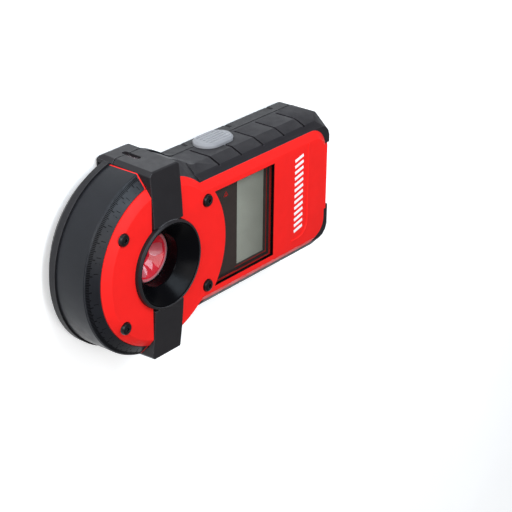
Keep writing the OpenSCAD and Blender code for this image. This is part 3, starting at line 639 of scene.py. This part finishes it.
def white_marks():
    """Row of slanted white bars printed across the handle, in place of any lettering."""
    low_y, high_y, low_x, high_x = -17.5, 21.4, 90.6, 97.0
    count, slant, sunk, height, edge = 13, 1.5, 0.03, 0.09, 0.03
    pitch = (high_y - low_y) / count
    bm = bmesh.new()
    for i in range(count):
        y = low_y + (i + 0.5) * pitch
        start = Vector((low_x, y - slant / 2, FACE_Z - sunk))
        end = Vector((high_x, y + slant / 2, FACE_Z - sunk))
        along = (end - start).normalized()
        across = along.cross(Vector((0, 0, 1)))
        size = (pitch / 2, (end - start).length, height)
        add_bar(bm, (start + end) / 2, across, along, size, edge)
    new_piece("white_marks", bm, "housing", PRINT)


def emboss_line():
    """Low ridge that crosses the face near its end and turns back along one side."""
    x, high_y, turn_y, radius, end_x = 100.8, 25.2, -13.5, 7.5, 88.6
    path = [Vector((x, high_y, 0)), Vector((x, turn_y, 0))]
    for k in range(1, 9):
        a = math.radians(90 * k / 8)
        path.append(Vector((x - radius * (1 - math.cos(a)), turn_y - radius * math.sin(a), 0)))
    path.append(Vector((end_x, turn_y - radius - 0.2, 0)))
    half, height, sunk = 0.42, 0.42, 0.05
    bm = bmesh.new()
    rings = []
    for i, p in enumerate(path):
        run = (path[min(i + 1, len(path) - 1)] - path[max(i - 1, 0)]).normalized()
        side = run.cross(Vector((0, 0, 1)))
        shoulder = height * 0.8
        shape = ((-half, -sunk), (-half * 0.6, shoulder), (0, height), (half * 0.6, shoulder), (half, -sunk))
        rings.append([bm.verts.new(p + side * a + Vector((0, 0, FACE_Z + b))) for a, b in shape])
    for one, two in zip(rings, rings[1:]):
        for k in range(len(one)):
            j = (k + 1) % len(one)
            bm.faces.new((one[k], one[j], two[j], two[k]))
    bm.faces.new(rings[0])
    bm.faces.new(list(reversed(rings[-1])))
    new_piece("emboss_line", bm, "housing", RED)


def window_print():
    """Dark border printed on the back of the window, which leaves the display clear."""
    clear_low, clear_high = display_opening()
    inset, print_z, thick = 0.1, window_low.z - 0.03, 0.05
    curve_r = WINDOW_CURVE_R - inset
    outer_y, outer_x = window_high.y - inset, window_high.x - inset
    bm = bmesh.new()

    def quad(corners):
        bm.faces.new([bm.verts.new((x, y, print_z)) for x, y in corners])

    steps = 32
    levels = [outer_y * (2 * k / steps - 1) for k in range(steps + 1)]
    for y0, y1 in zip(levels, levels[1:]):
        x0, x1 = (math.sqrt(curve_r ** 2 - y ** 2) for y in (y0, y1))
        quad(((x0, y0), (clear_low.x, y0), (clear_low.x, y1), (x1, y1)))
    for y0, y1 in ((-outer_y, clear_low.y), (clear_high.y, outer_y)):
        quad(((clear_low.x, y0), (outer_x, y0), (outer_x, y1), (clear_low.x, y1)))
    quad(((clear_high.x, clear_low.y), (outer_x, clear_low.y), (outer_x, clear_high.y),
          (clear_high.x, clear_high.y)))
    bmesh.ops.remove_doubles(bm, verts=bm.verts, dist=0.001)
    bmesh.ops.solidify(bm, geom=bm.faces[:], thickness=thick)
    new_piece("window_print", bm, "housing", BEZEL)


def window_lining():
    """Thin black lining on the walls of the window's opening: painted shadow for the dark gap round the
    window.
    """
    foot, top, thick, fit = window_high.z - 0.15, FACE_Z - 0.2, 0.22, 0.12
    end_x, half_y, curve_r = window_high.x + fit, window_high.y + fit, WINDOW_CURVE_R - fit
    steps = 32
    inner_ring = [(math.sqrt(curve_r ** 2 - y * y), y)
                  for y in (half_y * (1 - 2 * k / steps) for k in range(steps + 1))]
    inner_ring += [(end_x, -half_y), (end_x, half_y)]
    bm = bmesh.new()
    rings = []
    for shift, level in ((0, foot), (thick, foot), (thick, top), (0, top)):
        ring = []
        for x, y in inner_ring:
            away_x = shift if x > end_x - 0.01 else -shift
            away_y = shift if y > half_y - 0.01 else -shift if y < 0.01 - half_y else 0
            ring.append(bm.verts.new((x - away_x, y - away_y, level)))
        rings.append(ring)
    count = len(inner_ring)
    for a in range(4):
        one, two = rings[a], rings[(a + 1) % 4]
        for k in range(count):
            m = (k + 1) % count
            bm.faces.new((one[k], one[m], two[m], two[k]))
    # Black gloss here is painted shadow in the window's gap.
    new_piece("window_lining", bm, "housing", GLOSS)


def display_opening():
    """Lowest and highest corner of the display's clear area."""
    margin = 0.4
    low = Vector((lcd_low.x + margin, lcd_low.y + margin, 0))
    return low, Vector((lcd_high.x - margin, lcd_high.y - margin, 0))


def window_mark():
    """Small generic mark under the window: the outline of a red triangle."""
    mark_x, mark_y, radius = 43.4, 17.3, 1.4
    width, height, edge = 0.5, 0.03, 0.01
    place = Vector((mark_x, mark_y, window_low.z - 0.03))
    bm = bmesh.new()
    for k in range(3):
        a, b = (math.radians(90 + 120 * j) for j in (k, k + 1))
        start = place + Vector((math.cos(a), math.sin(a), 0)) * radius
        end = place + Vector((math.cos(b), math.sin(b), 0)) * radius
        run = (end - start).normalized()
        side = run.cross(Vector((0, 0, 1)))
        length = (end - start).length + 0.4
        add_bar(bm, (start + end) / 2, side, run, (width, length, height), edge)
    new_piece("window_mark", bm, "housing", RED)


# ---- studio ----

def floor():
    """Plain pale floor that the tool lies on, a little below its pads."""
    bm = bmesh.new()
    half, below = 3000, 0.4
    bmesh.ops.create_grid(bm, x_segments=8, y_segments=8, size=half)
    for v in bm.verts:
        v.co.z = -below
    mesh = bpy.data.meshes.new("studio_floor")
    bm.to_mesh(mesh)
    bm.free()
    mesh.transform(Matrix.Scale(MM, 4))
    piece = bpy.data.objects.new("studio_floor", mesh)
    bpy.context.scene.collection.objects.link(piece)
    s = Shader("floor_paper")
    s.link(s.between(s.spread(s.noise(60.0), 0, 1), (0.90, 0.90, 0.90, 1), (0.93, 0.93, 0.93, 1)),
           s.surface.inputs["Base Color"])
    s.set(Roughness=0.9, Emission_Color=(1, 1, 1, 1), Emission_Strength=0.38)
    piece.data.materials.append(s.material)


def area_light(name, place, aim, size, power, color):
    """Softbox at place, in metres, that faces aim."""
    data = bpy.data.lights.new(name, "AREA")
    data.shape = "RECTANGLE"
    data.size, data.size_y = size
    data.energy = power
    data.color = color
    light = bpy.data.objects.new(name, data)
    light.location = place
    light.rotation_mode = "QUATERNION"
    light.rotation_quaternion = (Vector(aim) - Vector(place)).to_track_quat("-Z", "Y")
    bpy.context.scene.collection.objects.link(light)


# Softboxes: name, place and size in metres, watts, colour
SOFTBOXES = (
    ("key", (0.02, 0.50, 0.56), (0.46, 0.36), 4.2, (0.76, 0.88, 1.0)),
    ("side", (-0.62, 0.45, 0.22), (0.30, 0.5), 4.0, (0.95, 0.97, 1.0)),
    ("front", (-0.34, 0.22, 1.05), (0.7, 0.7), 4.8, (1, 1, 1)),
)


def studio():
    """Three softboxes aimed at the tool and an even white surround."""
    middle = (CAD_LOW + CAD_HIGH) / 2
    for name, place, size, power, color in SOFTBOXES:
        area_light(name, place, middle, size, power, color)
    world = bpy.data.worlds.new("studio")
    world.use_nodes = True
    background = world.node_tree.nodes["Background"]
    background.inputs["Color"].default_value = (1, 1, 1, 1)
    background.inputs["Strength"].default_value = 0.26
    bpy.context.scene.world = world
    bpy.context.scene.view_settings.view_transform = "Standard"


def camera():
    """Long lens, above the head's end, with the button's side up in the picture."""
    place = Vector((-0.4762, 0.3068, 0.4549))
    aim = Vector((0.0822, -0.0313, 0.0160))
    roll = math.radians(109.4)
    data = bpy.data.cameras.new("camera")
    data.sensor_width = 36.0
    data.lens = 115.1
    data.clip_start, data.clip_end = 0.01, 20.0
    piece = bpy.data.objects.new("camera", data)
    piece.location = place
    piece.rotation_mode = "QUATERNION"
    piece.rotation_quaternion = (aim - place).to_track_quat("-Z", "Y") @ Quaternion((0, 0, 1), roll)
    bpy.context.scene.collection.objects.link(piece)
    bpy.context.scene.camera = piece


camera()
studio()
floor()
paint_nodes()
soften_shells()
bumper()
angle_scale()
red_bead()
funnel()
light_cup()
cup_rim()
white_marks()
emboss_line()
window_print()
window_lining()
window_mark()
